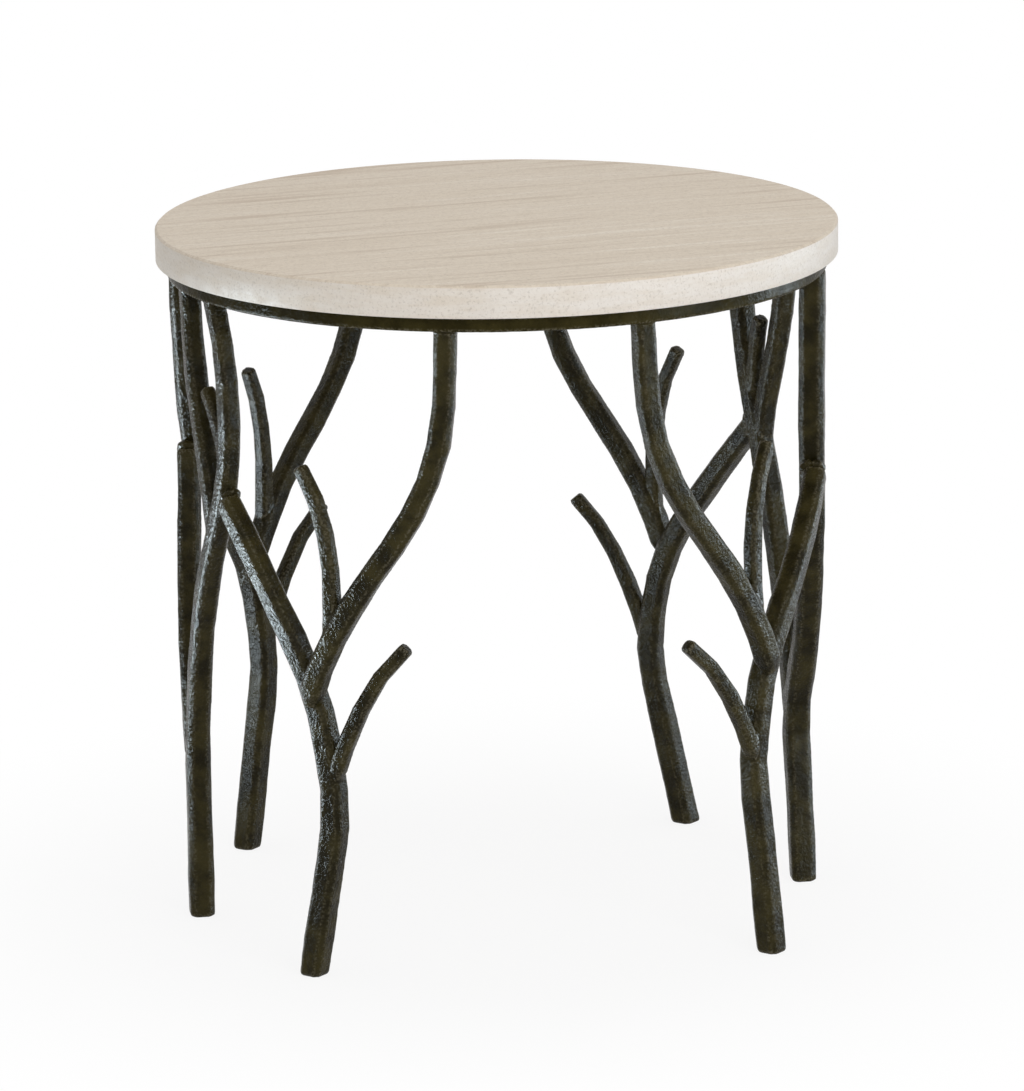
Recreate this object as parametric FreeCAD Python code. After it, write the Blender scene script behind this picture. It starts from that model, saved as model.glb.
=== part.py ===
import FreeCAD, Part
import math
import os

# Round end table: a stone slab on an iron ring, carried by six forged iron trees.
# Lengths are in millimetres and angles in degrees. The floor is z = 0 under the middle
# of the slab, +Z is up, and the two middle trees stand on +X and -X.

Vector = FreeCAD.Vector
UP = Vector(0, 0, 1)

# Overall sizes
top_diameter = 610.0
overall_height = 630.0

# Stone slab
slab_thickness = 28.5
slab_ease = 2.0

# Ring of flat bar under the slab
ring_set_in = 10.0
ring_height = 14.0
ring_width = 25.0
ring_ease = 1.2

# Forged bars, across the flats at their thick and thin ends
trunk_width = 22.5
trunk_end_width = 19.5
stem_width = 21.0
stem_end_width = 19.5
lean_end_width = 16.0
branch_width = 20.0
branch_end_width = 18.5
spur_width = 18.0
spur_end_width = 17.5
twig_width = 15.0
twig_tip_width = 12.0

# Hammering: spacing of the flats along a bar, how far the width wanders, cut ends, and the
# longer taper of an end that is dressed down onto another bar
forge_pitch = 35.0
forge_wander_share = 0.03
forge_beat = 2.4
flat_share = 0.60
end_ease = 2.0
end_width_share = 0.85
scarf_length = 14.0
scarf_width_share = 0.62

# Fastening of the slab
tab_thickness = 3.0
tab_width = 26.0
tab_reach = 32.0
tab_corner = 6.0
screw_diameter = 6.0
screw_inset = 20.0
screw_head_diameter = 12.0
screw_head_height = 3.6
screw_head_ease = 1.2
screw_length = 14.0
screw_clearance = 0.4
insert_diameter = 10.0
insert_length = 13.0
insert_clearance = 0.1
tab_count = 3

# Far enough for a cutting shape to pass right through
overrun = 5.0

# Worked out from the sizes above
slab_bottom = overall_height - slab_thickness
ring_bottom = slab_bottom - ring_height
ring_outer_radius = top_diameter / 2 - ring_set_in
ring_inner_radius = ring_outer_radius - ring_width
bar_radius = ring_outer_radius - trunk_width / 2
screw_radius = ring_inner_radius - screw_inset

# Trees stand at whole numbers of this angle, counted from +X
tree_pitch = 45.0
full_turn = 360.0

# Fineness of a centre line when a point on it is looked up, and fewest flats on a short bar
line_samples = 200
fewest_flat_count = 4

# How the bars of a corner tree run: (share of the sideways swing, share of the rise)
stem_shares = ((0.0, 0.0), (0.34, 0.31), (0.75, 0.66), (1.0, 1.0))
reach_shares = (
    (0.03, 0.15), (0.075, 0.28), (0.16, 0.41), (0.28, 0.53), (0.455, 0.66), (0.70, 0.83), (1.0, 1.0))
ring_branch_shares = (
    (0.0, 0.0), (0.09, 0.10), (0.22, 0.20), (0.41, 0.32), (0.65, 0.45), (0.84, 0.58),
    (0.95, 0.71), (0.99, 0.85), (1.0, 1.0))
upper_twig_shares = ((0.0, 0.0), (0.02, 0.22), (0.12, 0.48), (0.43, 0.76), (1.0, 1.0))
lower_twig_shares = ((0.0, 0.0), (0.19, 0.29), (0.42, 0.57), (0.70, 0.82), (1.0, 1.0))
run_on_shares = ((0.38, 0.24), (0.68, 0.52), (0.92, 0.78), (1.0, 1.0))

# How the bars of a middle tree run above its fork
upright_shares = ((0.18, 0.12), (0.44, 0.28), (0.78, 0.48), (0.96, 0.68), (1.0, 0.85), (1.0, 1.0))
lean_shares = ((0.14, 0.12), (0.39, 0.30), (0.60, 0.46), (0.80, 0.63), (0.95, 0.80), (1.0, 1.0))
spur_shares = ((0.0, 0.0), (0.27, 0.28), (0.64, 0.53), (0.89, 0.77), (1.0, 1.0))
spur_twig_shares = ((0.0, 0.0), (0.2, 0.35), (0.55, 0.70), (1.0, 1.0))

# How deep a lapped bar beds on the bar it is welded to, as a share of both half widths
ring_lap_share = 0.62
twig_lap_share = 0.30
reach_lap_share = 0.90
upright_lap_angle = 6.0

# Corner trees: place, side that faces away from the middle tree, angles at which the ring branch,
# the lower twig and the trunk's top end lap, then shares of tree_pitch for angles, of the ring's
# underside for heights and of bar_radius for the foot
corner_trees = {
    "front_left": dict(
        place=5, away=1, lap_angle=88.0, twig_lap_angle=55.0, reach_lap_angle=25.0,
        foot_share=0.0, foot_radius_share=1.01, bulge_shares=(0.11, 0.265),
        fork_share=0.426, lap_share=0.706, landing_share=0.61,
        upper_share=0.525, upper_tip_shares=(-0.025, 0.778),
        lower_share=0.305, lower_tip_shares=(0.435, 0.52)),
    "front_right": dict(
        place=7, away=-1, lap_angle=58.0, twig_lap_angle=58.0, reach_lap_angle=15.0,
        foot_share=0.035, foot_radius_share=1.05, bulge_shares=(0.062, 0.30),
        fork_share=0.437, lap_share=0.690, landing_share=0.612,
        upper_share=0.52, upper_tip_shares=(-0.05, 0.78),
        lower_share=0.30, lower_tip_shares=(0.425, 0.502)),
    "back_left": dict(
        place=3, away=-1, lap_angle=65.0, twig_lap_angle=65.0,
        foot_share=-0.033, foot_radius_share=1.05, bulge_shares=(0.03, 0.31),
        fork_share=0.431, lap_share=0.706, landing_share=0.592,
        upper_share=0.52, upper_tip_shares=(-0.03, 0.785),
        lower_share=0.313, lower_tip_shares=(0.385, 0.542)),
    "back_right": dict(
        place=1, away=1, lap_angle=65.0, twig_lap_angle=65.0, reach_lap_angle=25.0,
        foot_share=0.015, foot_radius_share=1.03, bulge_shares=(0.158, 0.295),
        fork_share=0.44, lap_share=0.685, landing_share=0.626,
        upper_share=0.50, upper_tip_shares=(0.005, 0.785),
        lower_share=0.288, lower_tip_shares=(0.492, 0.528)),
}

# Where the back left trunk, which runs on to the ring, turns upright and where it lands
run_on_share = -0.53
run_on_landing_share = -0.73

# Middle trees: the same kinds of share, angles counted anticlockwise from the tree's place
middle_trees = {
    "left": dict(
        place=4, foot_share=0.015, foot_radius_share=0.99, fork_shares=(0.058, 0.255),
        fork_radius_share=0.994, lean_share=0.46, sway_share=0.14,
        sway_shares=(0.0, 0.1, 0.5, 1.0, 0.8, 0.0), spur_share=0.64, spur_landing_share=0.19,
        twig_share=0.755, twig_tip_shares=(0.37, 0.859), twig_radius_share=1.0),
    "right": dict(
        place=0, foot_share=-0.015, foot_radius_share=0.972, fork_shares=(0.135, 0.255),
        fork_radius_share=0.98, lean_share=0.62, sway_share=0.036,
        sway_shares=(0.0, 0.0, 0.2, 0.65, 0.9, 0.3), spur_share=0.665, spur_landing_share=0.28,
        twig_share=0.725, twig_tip_shares=(0.44, 0.868), twig_radius_share=0.965),
}

# Where the right trunk's upright run lands, from the right tree's place
upright_landing_share = -0.39


def point_at(station):
    """Turn a station (angle, height, radius) into a point."""
    angle, height, radius = station
    turn = math.radians(angle)
    return Vector(radius * math.cos(turn), radius * math.sin(turn), height)


def station_of(point):
    """Turn a point into a station, with its angle within a full turn."""
    angle = math.degrees(math.atan2(point.y, point.x)) % full_turn
    return angle, point.z, math.hypot(point.x, point.y)


def centre_line(stations):
    """Smooth edge through a bar's stations."""
    curve = Part.BSplineCurve()
    curve.interpolate([point_at(station) for station in stations])
    return curve.toShape()


def line_at_height(stations, height):
    """Station where a bar's centre line first reaches a height."""
    samples = centre_line(stations).discretize(Number=line_samples)
    before = samples[0]
    for after in samples[1:]:
        if after.z >= height:
            share = (height - before.z) / (after.z - before.z)
            return station_of(before + (after - before) * share)
        before = after
    return station_of(samples[-1])


def face_directions(centre, along):
    """Directions of a bar's outer face and of the face a quarter turn anticlockwise from it."""
    outward = Vector(centre.x, centre.y, 0)
    outward = outward - along * outward.dot(along)
    outward.normalize()
    return outward, along.cross(outward)


def bar_section(centre, along, width):
    """Wire of a square bar with hammered corners, one flat facing away from the table's axis."""
    outward, across = face_directions(centre, along)
    half = width / 2
    corner_shares = (
        (1, flat_share), (flat_share, 1), (-flat_share, 1), (-1, flat_share),
        (-1, -flat_share), (-flat_share, -1), (flat_share, -1), (1, -flat_share))
    corners = []
    for out_share, side_share in corner_shares:
        corners.append(centre + outward * (half * out_share) + across * (half * side_share))
    return Part.makePolygon(corners + corners[:1])


def forged_bar(stations, start_width, end_width, level_start=False, level_end=False, scarfed=False):
    """Tapered hammered bar along its stations. Level ends lie flat, a level top keeps its width, and
    a scarfed start tapers over a longer stretch."""
    start_ease = scarf_length if scarfed else end_ease
    start_share = scarf_width_share if scarfed else end_width_share
    edge = centre_line(stations)
    count = max(fewest_flat_count, round(edge.Length / forge_pitch))
    points = edge.discretize(Number=count + 1)
    sections = []
    for index, point in enumerate(points):
        share = index / count
        along = points[min(index + 1, count)] - points[max(index - 1, 0)]
        if (index == 0 and level_start) or (index == count and level_end):
            along = Vector(UP)
        along.normalize()
        wander = forge_wander_share * math.sin(forge_beat * index + stations[0][0])
        width = (start_width + (end_width - start_width) * share) * (1 + wander)
        if index == 0:
            sections.append(bar_section(point, along, width * start_share))
            sections.append(bar_section(point + along * start_ease, along, width))
        elif index == count and not level_end:
            sections.append(bar_section(point - along * end_ease, along, width))
            sections.append(bar_section(point, along, width * end_width_share))
        else:
            sections.append(bar_section(point, along, width))
    return Part.makeLoft(sections, True, True)


def coped(bar, *parents):
    """Bar cut to the shape of the bars it is welded to, keeping its main piece."""
    for parent in parents:
        bar = bar.cut(parent)
    return max(bar.Solids, key=lambda solid: solid.Volume)


def dressed_off(bar, parent_line, height, far):
    """Bar with its lapped end dressed flush with the outer corner on its parent's far side."""
    below = point_at(line_at_height(parent_line, height - branch_width))
    centre = point_at(line_at_height(parent_line, height))
    along = point_at(line_at_height(parent_line, height + branch_width)) - below
    along.normalize()
    outward, across = face_directions(centre, along)
    normal = outward + across * far
    normal.normalize()
    side = along.cross(normal)
    corner_reach = trunk_width / 2 * (1 + flat_share) / math.sqrt(2)
    size = 2 * (trunk_width + branch_width)
    block = Part.makeBox(size, size, size)
    corner = centre + normal * corner_reach - (side + along) * (size / 2)
    block.Placement = FreeCAD.Placement(corner, FreeCAD.Rotation(normal, side, along, "ZXY"))
    return bar.cut(block)


def swung(start, swing, rise, shares, end_radius):
    """Stations from a start station through shares of a swing, a rise and a change of radius."""
    angle, height, radius = start
    stations = []
    for swing_share, rise_share in shares:
        reach = radius + (end_radius - radius) * rise_share
        stations.append((angle + swing * swing_share, height + rise * rise_share, reach))
    return stations


def lapped_station(parent_station, toward, lap, lap_angle):
    """Station a lap away from a bar, turned by the lap angle from its side towards its outer face."""
    angle, height, radius = parent_station
    lean = math.radians(lap_angle)
    side_angle = math.degrees(lap * math.cos(lean) / radius)
    return angle + toward * side_angle, height, radius + lap * math.sin(lean)


def middle_stem_line(tree):
    """Stations of a middle tree's trunk from its foot to its fork."""
    place_angle = tree["place"] * tree_pitch
    foot = (place_angle + tree["foot_share"] * tree_pitch, 0.0, bar_radius * tree["foot_radius_share"])
    fork_angle_share, fork_height_share = tree["fork_shares"]
    swing = (fork_angle_share - tree["foot_share"]) * tree_pitch
    fork_radius = bar_radius * tree["fork_radius_share"]
    return swung(foot, swing, ring_bottom * fork_height_share, stem_shares, fork_radius)


def run_to_ring(start, landing, shares):
    """Stations from a start station up to the ring, landing at an angle."""
    return swung(start, landing - start[0], ring_bottom - start[1], shares, bar_radius)


def lean_line_from(fork, tree):
    """Stations of a middle tree's leaning bar from its fork up to the ring, swaying as it goes."""
    landing = (tree["place"] + tree["lean_share"]) * tree_pitch
    sway = tree["sway_share"] * tree_pitch
    stations = []
    for station, share in zip(run_to_ring(fork, landing, lean_shares), tree["sway_shares"]):
        angle, height, radius = station
        stations.append((angle + sway * share, height, radius))
    return stations


def middle_branch_lines(tree, lean_line):
    """Stations of the short branch and the free twig on a middle tree's leaning bar."""
    place_angle = tree["place"] * tree_pitch
    start = unwrapped(line_at_height(lean_line, ring_bottom * tree["spur_share"]), place_angle)
    spur = run_to_ring(start, place_angle + tree["spur_landing_share"] * tree_pitch, spur_shares)
    start = unwrapped(line_at_height(lean_line, ring_bottom * tree["twig_share"]), place_angle)
    tip_angle_share, tip_height_share = tree["twig_tip_shares"]
    tip_angle = place_angle + tip_angle_share * tree_pitch
    tip_height = ring_bottom * tip_height_share
    twig = swung(start, tip_angle - start[0], tip_height - start[1], spur_twig_shares,
                 bar_radius * tree["twig_radius_share"])
    return spur, twig


def unwrapped(station, near_angle):
    """The same station with its angle written within half a turn of another angle."""
    angle, height, radius = station
    return angle - full_turn * round((angle - near_angle) / full_turn), height, radius


def corner_trunk_line(tree, lap_end):
    """Stations of a corner trunk from its foot, out round its bulge and over to its lapped end."""
    place_angle = tree["place"] * tree_pitch
    pitch = tree["away"] * tree_pitch
    foot = (place_angle + tree["foot_share"] * pitch, 0.0, bar_radius * tree["foot_radius_share"])
    bulge_angle_share, bulge_height_share = tree["bulge_shares"]
    bulge = (place_angle + bulge_angle_share * pitch, ring_bottom * bulge_height_share, bar_radius)
    stem = swung(foot, bulge[0] - foot[0], bulge[1], stem_shares, bar_radius)
    end_angle, end_height, end_radius = unwrapped(lap_end, place_angle)
    return stem + swung(bulge, end_angle - bulge[0], end_height - bulge[1], reach_shares, end_radius)


def corner_branch_lines(tree, trunk_line):
    """Stations of a corner tree's ring branch, upper twig and lower twig."""
    place_angle = tree["place"] * tree_pitch
    pitch = tree["away"] * tree_pitch
    fork = unwrapped(line_at_height(trunk_line, ring_bottom * tree["fork_share"]), place_angle)
    lap = ring_lap_share * (trunk_width + branch_width) / 2
    fork = lapped_station(fork, tree["away"], lap, tree["lap_angle"])
    ring_branch = run_to_ring(fork, place_angle + tree["landing_share"] * pitch, ring_branch_shares)

    start = unwrapped(line_at_height(ring_branch, ring_bottom * tree["upper_share"]), place_angle)
    tip_angle_share, tip_height_share = tree["upper_tip_shares"]
    tip_angle = place_angle + tip_angle_share * pitch
    upper = swung(start, tip_angle - start[0], ring_bottom * tip_height_share - start[1],
                  upper_twig_shares, bar_radius)

    start = unwrapped(line_at_height(trunk_line, ring_bottom * tree["lower_share"]), place_angle)
    lap = twig_lap_share * (trunk_width + twig_width) / 2
    start = lapped_station(start, tree["away"], lap, tree["twig_lap_angle"])
    tip_angle_share, tip_height_share = tree["lower_tip_shares"]
    tip_angle = place_angle + tip_angle_share * pitch
    lower = swung(start, tip_angle - start[0], ring_bottom * tip_height_share - start[1],
                  lower_twig_shares, bar_radius)
    return ring_branch, upper, lower


def stone_top():
    """Round slab with an eased top arris and a blind hole for each screw insert."""
    slab = Part.makeCylinder(top_diameter / 2, slab_thickness, Vector(0, 0, slab_bottom))
    rims = [edge for edge in slab.Edges if len(edge.Vertexes) == 1]
    upper = [edge for edge in rims if edge.CenterOfMass.z > slab_bottom + slab_thickness / 2]
    slab = slab.makeChamfer(slab_ease, upper)
    radius = insert_diameter / 2 + insert_clearance
    depth = insert_length + insert_clearance
    for place in screw_places():
        slab = slab.cut(Part.makeCylinder(radius, depth, place))
    return slab


def top_ring():
    """Flat bar rolled into a ring, its lower outer edge eased."""
    low, high = ring_bottom, slab_bottom
    outer, inner = ring_outer_radius, ring_inner_radius
    corners = [
        Vector(inner, 0, low), Vector(outer - ring_ease, 0, low), Vector(outer, 0, low + ring_ease),
        Vector(outer, 0, high), Vector(inner, 0, high)]
    face = Part.Face(Part.makePolygon(corners + corners[:1]))
    return face.revolve(Vector(0, 0, 0), UP, full_turn)


def screw_places():
    """Points on the slab's underside above each tab's hole."""
    step = full_turn / tab_count
    return [point_at((index * step, slab_bottom, screw_radius)) for index in range(tab_count)]


def turned(shape, angle):
    """Copy of a shape turned about the table's axis."""
    copy = shape.copy()
    copy.rotate(Vector(0, 0, 0), UP, angle)
    return copy


def around(shape):
    """One copy of a shape for each tab, as a group of separate solids."""
    step = full_turn / tab_count
    return Part.makeCompound([turned(shape, index * step) for index in range(tab_count)])


def top_tab():
    """Small plate welded to the ring's inner face, flush under the slab, with clipped corners."""
    low = slab_bottom - tab_thickness
    start = ring_inner_radius - tab_reach
    length = tab_reach + overrun
    plate = Part.makeBox(length, tab_width, tab_thickness, Vector(start, -tab_width / 2, low))
    corners = []
    for edge in plate.Edges:
        upright = edge.BoundBox.ZLength > edge.BoundBox.XLength + edge.BoundBox.YLength
        if upright and edge.CenterOfMass.x < ring_inner_radius - tab_reach / 2:
            corners.append(edge)
    plate = plate.makeChamfer(tab_corner, corners)
    plate = plate.common(Part.makeCylinder(ring_inner_radius, tab_thickness, Vector(0, 0, low)))
    hole_radius = screw_diameter / 2 + screw_clearance
    return plate.cut(Part.makeCylinder(hole_radius, tab_thickness, Vector(screw_radius, 0, low)))


def tab_screw():
    """Pan-head screw up through a tab into its insert."""
    seat = Vector(screw_radius, 0, slab_bottom - tab_thickness)
    shank = Part.makeCylinder(screw_diameter / 2, screw_length, seat)
    head = Part.makeCylinder(screw_head_diameter / 2, screw_head_height, seat - UP * screw_head_height)
    rims = [edge for edge in head.Edges if len(edge.Vertexes) == 1]
    lower = [edge for edge in rims if edge.CenterOfMass.z < seat.z - screw_head_height / 2]
    head = head.makeChamfer(screw_head_ease, lower)
    return shank.fuse(head).removeSplitter()


def screw_insert():
    """Sleeve set into the slab from below, bored for the screw."""
    place = Vector(screw_radius, 0, slab_bottom)
    sleeve = Part.makeCylinder(insert_diameter / 2, insert_length, place)
    return sleeve.cut(Part.makeCylinder(screw_diameter / 2 + insert_clearance, insert_length, place))


def middle_tree(name, lean_line, lean_bar):
    """Short ring branch and free twig on a middle tree's leaning bar, by name."""
    spur_line, twig_line = middle_branch_lines(middle_trees[name], lean_line)
    spur = forged_bar(spur_line, spur_width, spur_end_width, level_end=True)
    spur = coped(spur, lean_bar)
    twig = coped(forged_bar(twig_line, twig_width, twig_tip_width), lean_bar, spur)
    return {name + "_ring_branch": spur, name + "_twig": twig}


def corner_tree(name, trunk_line, trunk):
    """Trunk, ring branch and two twigs of a corner tree, by name."""
    tree = corner_trees[name]
    ring_line, upper_line, lower_line = corner_branch_lines(tree, trunk_line)
    ring_branch = forged_bar(ring_line, branch_width, branch_end_width, level_end=True, scarfed=True)
    ring_branch = dressed_off(ring_branch, trunk_line, ring_bottom * tree["fork_share"], -tree["away"])
    ring_branch = coped(ring_branch, trunk)
    upper_twig = coped(forged_bar(upper_line, twig_width, twig_tip_width), ring_branch, trunk)
    lower_twig = coped(forged_bar(lower_line, twig_width, twig_tip_width, scarfed=True), trunk)
    return {
        name + "_trunk": trunk, name + "_ring_branch": ring_branch,
        name + "_upper_twig": upper_twig, name + "_lower_twig": lower_twig}


def back_left_lines(left_fork):
    """Stations of the back left trunk, which runs on to the ring, and of the left bar lapped on it."""
    tree = corner_trees["back_left"]
    lap_height = ring_bottom * tree["lap_share"]
    turn_angle = tree["place"] * tree_pitch - run_on_share * tree_pitch
    reach = corner_trunk_line(tree, (turn_angle, lap_height, bar_radius))
    landing = (tree["place"] - run_on_landing_share) * tree_pitch
    trunk_line = reach + run_to_ring(reach[-1], landing, run_on_shares)
    lap = reach_lap_share * (stem_end_width + trunk_width) / 2
    beside = line_at_height(trunk_line, lap_height)
    angle, height, radius = lapped_station(beside, 1, lap, upright_lap_angle)
    lapped_line = swung(left_fork, angle - left_fork[0], height - left_fork[1], spur_shares, radius)
    return trunk_line, lapped_line


def lapped_trunk(name, bar_line, bar, toward):
    """A corner trunk whose top end is lapped and welded on a bar of its middle tree, with its line."""
    tree = corner_trees[name]
    beside = line_at_height(bar_line, ring_bottom * tree["lap_share"])
    lap = reach_lap_share * (trunk_end_width + stem_width) / 2
    line = corner_trunk_line(tree, lapped_station(beside, toward, lap, tree["reach_lap_angle"]))
    return line, coped(forged_bar(line, trunk_width, trunk_end_width, level_start=True), bar)


def iron_trees():
    """The bars of all six trees, by name."""
    left_stem = middle_stem_line(middle_trees["left"])
    left_fork = left_stem[-1]
    left_line = left_stem + lean_line_from(left_fork, middle_trees["left"])
    left_trunk = forged_bar(left_line, trunk_width, lean_end_width, level_start=True, level_end=True)

    right_stem = middle_stem_line(middle_trees["right"])
    right_fork = right_stem[-1]
    landing = (middle_trees["right"]["place"] + upright_landing_share) * tree_pitch
    right_line = right_stem + run_to_ring(right_fork, landing, upright_shares)
    right_trunk = forged_bar(right_line, trunk_width, trunk_width, level_start=True, level_end=True)
    lean_line = [right_fork] + lean_line_from(right_fork, middle_trees["right"])
    right_second = coped(forged_bar(lean_line, stem_width, stem_end_width, level_end=True), right_trunk)

    back_line, lapped_line = back_left_lines(left_fork)
    back_trunk = forged_bar(back_line, trunk_width, trunk_width, level_start=True, level_end=True)
    left_second = coped(forged_bar(lapped_line, stem_width, stem_end_width), left_trunk, back_trunk)

    bars = {
        "left_trunk": left_trunk, "left_second_stem": left_second,
        "right_trunk": right_trunk, "right_second_stem": right_second}
    bars.update(middle_tree("left", left_line, left_trunk))
    bars.update(middle_tree("right", lean_line, right_second))
    bars.update(corner_tree("back_left", back_line, back_trunk))
    bars.update(corner_tree("front_left", *lapped_trunk("front_left", left_line, left_trunk, 1)))
    bars.update(corner_tree("front_right", *lapped_trunk("front_right", right_line, right_trunk, -1)))
    bars.update(corner_tree("back_right", *lapped_trunk("back_right", lean_line, right_second, 1)))
    return bars


pieces = {
    "stone_top": stone_top(),
    "top_ring": top_ring(),
    "top_tabs": around(top_tab()),
    "tab_screws": around(tab_screw()),
    "screw_inserts": around(screw_insert()),
}
pieces.update(iron_trees())

os.makedirs("parts", exist_ok=True)
for piece_name, shape in pieces.items():
    shape.exportStep(os.path.join("parts", piece_name + ".step"))
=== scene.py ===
import math

import bmesh
import bpy
from mathutils import Matrix, Vector, noise
from mathutils.bvhtree import BVHTree


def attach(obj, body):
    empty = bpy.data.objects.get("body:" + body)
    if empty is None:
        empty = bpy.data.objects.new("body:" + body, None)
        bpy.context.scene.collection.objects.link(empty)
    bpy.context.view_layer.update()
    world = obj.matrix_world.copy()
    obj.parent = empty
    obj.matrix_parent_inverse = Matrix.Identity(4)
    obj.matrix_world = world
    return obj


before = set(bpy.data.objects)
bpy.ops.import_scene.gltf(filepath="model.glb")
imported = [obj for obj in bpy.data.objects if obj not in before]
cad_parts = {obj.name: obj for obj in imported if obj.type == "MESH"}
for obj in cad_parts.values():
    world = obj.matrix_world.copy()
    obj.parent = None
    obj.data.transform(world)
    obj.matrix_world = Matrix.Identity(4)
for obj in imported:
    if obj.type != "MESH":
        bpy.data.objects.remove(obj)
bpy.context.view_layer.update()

bl_info = {
    "name": "Round twig end table",
    "version": (1, 0, 0),
    "blender": (4, 5, 0),
    "location": "View3D > Sidebar > End Table",
    "description": "Dresses a round end table: a stone slab on a ring carried by forged iron trees",
    "category": "Object",
}

# Names of the table's pieces
CORNER_TREES = ("front_left", "front_right", "back_left", "back_right")
MIDDLE_TREES = ("left", "right")
CORNER_BARS = ("trunk", "ring_branch", "upper_twig", "lower_twig")
MIDDLE_BARS = ("trunk", "second_stem", "ring_branch", "twig")
RING = "top_ring"
BODY = "root"

# What each bar is welded to, besides the ring that every standing bar meets
CORNER_WELDS = (("ring_branch", "trunk"), ("upper_twig", "ring_branch"), ("lower_twig", "trunk"))
MIDDLE_WELDS = (("second_stem", "trunk"), ("ring_branch", "trunk"), ("ring_branch", "second_stem"),
                ("twig", "trunk"), ("twig", "second_stem"), ("twig", "ring_branch"))
LAP_WELDS = (("front_left_trunk", "left_trunk"), ("front_right_trunk", "right_trunk"),
             ("back_right_trunk", "right_second_stem"), ("left_second_stem", "back_left_trunk"))

# Lightly hammered pieces: share of a full hammer blow
TWIG_BLOW_SHARE = 0.75
RING_BLOW_SHARE = 0.35

# Hammered skins: joining of faces, easing of corners, a blow's level of rest, wander's size in dents
FACE_JOIN = 0.00001
CORNER_EASE = 0.35
BLOW_REST_LEVEL = 0.15
WANDER_SIZE_RATIO = 2.5

# Slab's edges
ARRIS_ANGLE = math.radians(25.0)

# Seams: how near a coped face lies to its parent, joining of points, easing, and the shortest weld in legs
SEAM_TOUCH = 0.00025
SEAM_JOIN = 0.000002
SEAM_EASE_ROUNDS = 3
SHORTEST_SEAM_LEGS = 3.0

# Fillets of weld: sizes in shares of their leg, lumps in counts to a metre
TWIG_WELD_SHARE = 0.75
FILLET_PITCH_SHARE = 0.4
FILLET_STEPS = 6
FILLET_SINK_SHARE = 0.06
FILLET_PULL_SHARE = 0.1
FILLET_ROOT_SHARE = 0.2
FILLET_END_SHARE = 0.4
LUMP_SHARE = 0.28
LUMPS = 210.0
RIPPLE_SHARE = 0.07
RIPPLE_STEP = 2.1
WELD_CREASE = math.radians(50.0)

# Weld in the laps: blobs in shares of the ring's weld, lumps in counts to a metre, crust at the bar's end
LAP_CELL_SHARE = 0.5
LAP_CROWN_SHARE = 0.3
LAP_LUMP_SHARE = 0.5
LAP_LUMPS = 260.0
LAP_CRUST = 1.7

# Skin over those blobs: its pitch as a share of the bars' pitch, and its easing
LAP_PITCH_SHARE = 0.5
LAP_EASE_ROUNDS = 2

# Marks in the iron, in counts to a metre
WARP_MARKS = 60.0
TONE_MARKS = 38.0
SPECK_MARKS = 480.0

# How far the iron's marks are warped, how strongly dents show, and how strongly the rubbed corners with
# their painted highlight show
WARP_REACH = 0.006
DENT_SHARE = 0.8
RUBBED_HIGHLIGHT_SHARE = 0.7

# Bands of the iron's marks in which its colour and gloss change, and the range of its roughness
BRONZE_TONES = (0.36, 0.66)
# Corners and specks where the colour is lightened: rubbed finish, and partly a painted highlight along the
# arrises
RUBBED_HIGHLIGHT_CORNERS = (0.505, 0.54)
RUBBED_HIGHLIGHT_SPECKS = (0.42, 0.6)
GLOSS_SPECKS = (0.35, 0.65)
IRON_ROUGHNESS = (0.09, 0.31)

# Screws and inserts: share of the colour in hollows, band of specks, and how far the roughness varies
METAL_SHADE = 0.7
METAL_SPECKS = (0.3, 0.7)
METAL_ROUGHNESS_CHANGE = 0.08
METAL_RELIEF = 0.0001

# Marks in the stone, in counts to a metre: along the veins and across them, or every way
BROAD_VEINS = (2.2, 26.0)
THIN_VEINS = (4.5, 120.0)
HAIR_VEINS = (45.0, 330.0)
VEIN_SWAYS = 3.0
PORES = 520.0
GRIT = 240.0
EDGE_LAYERS = (16.0, 16.0, 110.0)
EDGE_PITS = 130.0

# How far the veins sway, and how strongly each mark shows in the stone
VEIN_SWAY_REACH = 0.02
PALE_VEIN_SHARE = 0.75
DARK_VEIN_SHARE = 0.8
HAIR_VEIN_SHARE = 0.38
PORE_SHARE = 0.3
PORE_DARKNESS = 0.6
PIT_SHARE = 0.5
GRIT_SHARES = (0.0, 0.32)
GRIT_FACE_SHARES = (0.4, 1.0)
TAN_SIDE_SHARES = (0.05, 0.55)
TAN_LAYER_SHARES = (-0.1, 0.3)

# Bands of noise, place or slope in which each mark of the stone comes in, and its roughness and relief
DARK_THIN, DARK_BROAD = (0.5, 0.62), (0.42, 0.6)
PALE_THIN, PALE_BROAD = (0.48, 0.36), (0.52, 0.36)
HAIR_BAND = (0.48, 0.68)
TAN_SIDES = (0.15, -0.3)
TAN_LAYERS = (0.4, 0.65)
LEVEL_SLOPES = (0.25, 0.6)
GRIT_BAND = (0.42, 0.7)
PORE_BAND = (0.52, 0.72)
PIT_BAND = (0.0, 0.28)
ROUGH_VEINS = (0.3, 0.7)
STONE_ROUGHNESS = (0.46, 0.6)
STONE_RELIEF = 0.0003
STONE_RELIEF_STRENGTH = 0.7

# The photograph's camera, turned into the table's frame
CAMERA_TURN = math.radians(-8.5)
CAMERA_PLACE = Vector((0.003963, -5.600684, 1.684499))
CAMERA_YAW = -0.0010
CAMERA_PITCH = 0.2373
CAMERA_ROLL = -0.0153
CAMERA_LENS_PIXELS = 6370.7
PHOTO_HEIGHT_PIXELS = 1091.0
SENSOR = 36.0
FAR_CLIP = 100.0

# Floor: distances over which its shadow fades out, its share of white under the table, and its grey
SHADOW_FADE = (0.25, 0.75)
SHADOW_WHITE_SHARE = 0.87
FLOOR_GREY = 0.85
WHITE = (1.0, 1.0, 1.0, 1.0)

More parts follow.
